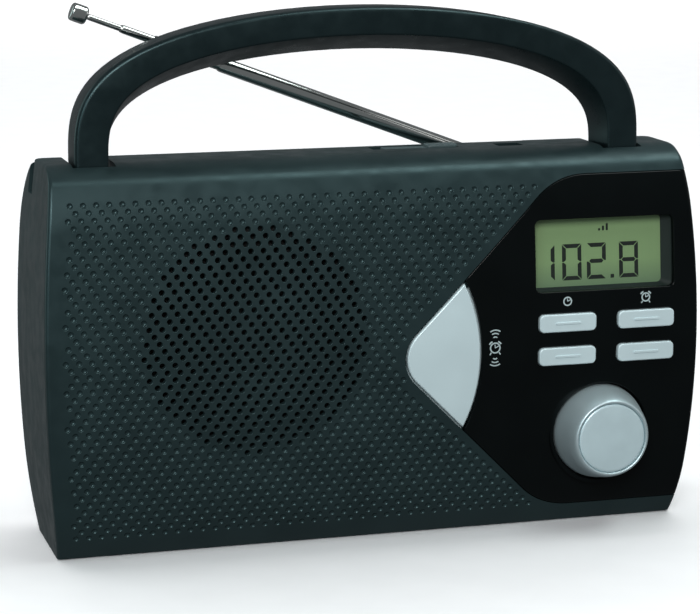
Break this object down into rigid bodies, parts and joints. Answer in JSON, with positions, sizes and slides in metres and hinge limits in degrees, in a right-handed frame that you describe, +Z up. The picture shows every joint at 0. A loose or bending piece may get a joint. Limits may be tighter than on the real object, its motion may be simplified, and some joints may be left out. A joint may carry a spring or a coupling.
{
  "type": "tabletop radio",
  "caption": "Portable clock radio with a bowed perforated front, gloss control fascia with display, keys and knob, arched carry handle and telescopic aerial.",
  "frame": {"origin": "centre of the radio's bounding box on the surface it stands on", "axes": "+X to the radio's right as seen from the front, +Y to the rear, +Z up"},
  "size_m": [0.2254, 0.072, 0.1801],
  "materials": {
    "cabinet": "satin moulded",
    "fascia": "high gloss",
    "window": "clear acrylic",
    "lcd": "grey-green liquid crystal",
    "white_plastic": "moulded",
    "black_plastic": "moulded",
    "board": "solder mask",
    "components": "semi-gloss",
    "ferrite": "sintered",
    "copper": "enamelled copper wire",
    "silver_plastic": "satin silver paint",
    "steel": "plated",
    "chrome": "polished",
    "brass": "turned",
    "core": "laminated",
    "basket": "zinc",
    "paper": "pressed paper",
    "rubber": "soft",
    "battery": "printed sleeve",
    "handle": "satin moulded"
  },
  "bodies": {
    "radio": {"front_cabinet": "cabinet", "rear_cabinet": "cabinet", "control_fascia": "fascia", "display_window": "window", "lcd_panel": "lcd", "lcd_holder": "white_plastic", "key_board": "board", "key_switches": "black_plastic", "main_board": "board", "board_components": "components", "ferrite_rod": "ferrite", "ferrite_coil": "copper", "ferrite_clips": "white_plastic", "tuning_capacitor": "white_plastic", "speaker_gasket": "rubber", "speaker_frame": "basket", "speaker_magnet": "core", "speaker_cone": "paper", "speaker_surround": "rubber", "speaker_dust_cap": "paper", "speaker_screws": "steel", "mains_transformer": "core", "transformer_coil": "copper", "mains_inlet": "black_plastic", "inlet_pins": "brass", "headphone_jack": "black_plastic", "volume_control": "black_plastic", "function_switch": "black_plastic", "band_switch": "black_plastic", "battery_contacts": "steel", "battery_springs": "steel", "battery_cells": "battery", "cabinet_screws": "steel", "board_screws": "steel", "foot_pads": "rubber", "handle_pivots": "steel", "aerial_bracket": "steel"},
    "handle": {"carry_handle": "handle"},
    "tuning": {"tuning_knob": "silver_plastic", "knob_insert": "silver_plastic", "tuning_shaft": "brass"},
    "snooze": {"snooze_button": "silver_plastic"},
    "clock": {"clock_key": "silver_plastic"},
    "alarm": {"alarm_key": "silver_plastic"},
    "hour": {"hour_key": "silver_plastic"},
    "minute": {"minute_key": "silver_plastic"},
    "volume": {"volume_wheel": "black_plastic"},
    "function": {"function_slider": "cabinet"},
    "band": {"band_slider": "black_plastic"},
    "battery_cover": {"battery_door": "cabinet"},
    "aerial_base": {"aerial_swivel": "chrome", "aerial_pin": "chrome"},
    "aerial_mast": {"aerial_tube": "chrome"},
    "aerial_rod_1": {"aerial_section_1": "chrome"},
    "aerial_rod_2": {"aerial_section_2": "chrome"},
    "aerial_rod_3": {"aerial_section_3": "chrome"},
    "aerial_rod_4": {"aerial_section_4": "chrome", "aerial_tip": "chrome"}
  },
  "joints": [
    {"name": "handle_fold", "type": "hinge", "parent": "radio", "child": "handle", "pos_m": [-0.0018, -0.003, 0.118], "axis": [-1, 0, 0], "range_deg": [0, 8]},
    {"name": "tuning_turn", "type": "hinge", "parent": "radio", "child": "tuning", "pos_m": [0.0778, -0.03, 0.0335], "axis": [0, 1, 0], "range_deg": [-90, 90]},
    {"name": "snooze_press", "type": "slide", "parent": "radio", "child": "snooze", "axis": [0, 1, 0], "range_m": [0, 0.0006], "stiffness_N_per_m": 400, "springref_m": -0.001},
    {"name": "clock_press", "type": "slide", "parent": "radio", "child": "clock", "axis": [0, 1, 0], "range_m": [0, 0.0006], "stiffness_N_per_m": 400, "springref_m": -0.001},
    {"name": "alarm_press", "type": "slide", "parent": "radio", "child": "alarm", "axis": [0, 1, 0], "range_m": [0, 0.0006], "stiffness_N_per_m": 400, "springref_m": -0.001},
    {"name": "hour_press", "type": "slide", "parent": "radio", "child": "hour", "axis": [0, 1, 0], "range_m": [0, 0.0006], "stiffness_N_per_m": 400, "springref_m": -0.001},
    {"name": "minute_press", "type": "slide", "parent": "radio", "child": "minute", "axis": [0, 1, 0], "range_m": [0, 0.0006], "stiffness_N_per_m": 400, "springref_m": -0.001},
    {"name": "volume_turn", "type": "hinge", "parent": "radio", "child": "volume", "pos_m": [0.1012, 0.0096, 0.092], "axis": [0, 1, 0], "range_deg": [-135, 135]},
    {"name": "function_slide", "type": "slide", "parent": "radio", "child": "function", "axis": [1, 0, 0], "range_m": [-0.0038, 0]},
    {"name": "band_slide", "type": "slide", "parent": "radio", "child": "band", "axis": [1, 0, 0], "range_m": [0, 0.004]},
    {"name": "battery_door_off", "type": "slide", "parent": "radio", "child": "battery_cover", "axis": [0, 1, 0], "range_m": [0, 0.03]},
    {"name": "aerial_raise", "type": "hinge", "parent": "radio", "child": "aerial_base", "pos_m": [0.054, 0.016, 0.1215], "axis": [0, 1, 0], "range_deg": [-20.6, 99.4]},
    {"name": "aerial_fold_back", "type": "hinge", "parent": "aerial_base", "child": "aerial_mast", "pos_m": [0.054, 0.016, 0.1215], "axis": [-0.3518, 0, -0.9361], "range_deg": [0, 90]},
    {"name": "aerial_pull_1", "type": "slide", "parent": "aerial_mast", "child": "aerial_rod_1", "axis": [-0.9361, 0, 0.3518], "range_m": [-0.0115, 0.08]},
    {"name": "aerial_pull_2", "type": "slide", "parent": "aerial_rod_1", "child": "aerial_rod_2", "axis": [-0.9361, 0, 0.3518], "range_m": [-0.0115, 0.08]},
    {"name": "aerial_pull_3", "type": "slide", "parent": "aerial_rod_2", "child": "aerial_rod_3", "axis": [-0.9361, 0, 0.3518], "range_m": [-0.0115, 0.08]},
    {"name": "aerial_pull_4", "type": "slide", "parent": "aerial_rod_3", "child": "aerial_rod_4", "axis": [-0.9361, 0, 0.3518], "range_m": [-0.0115, 0.08]}
  ]
}
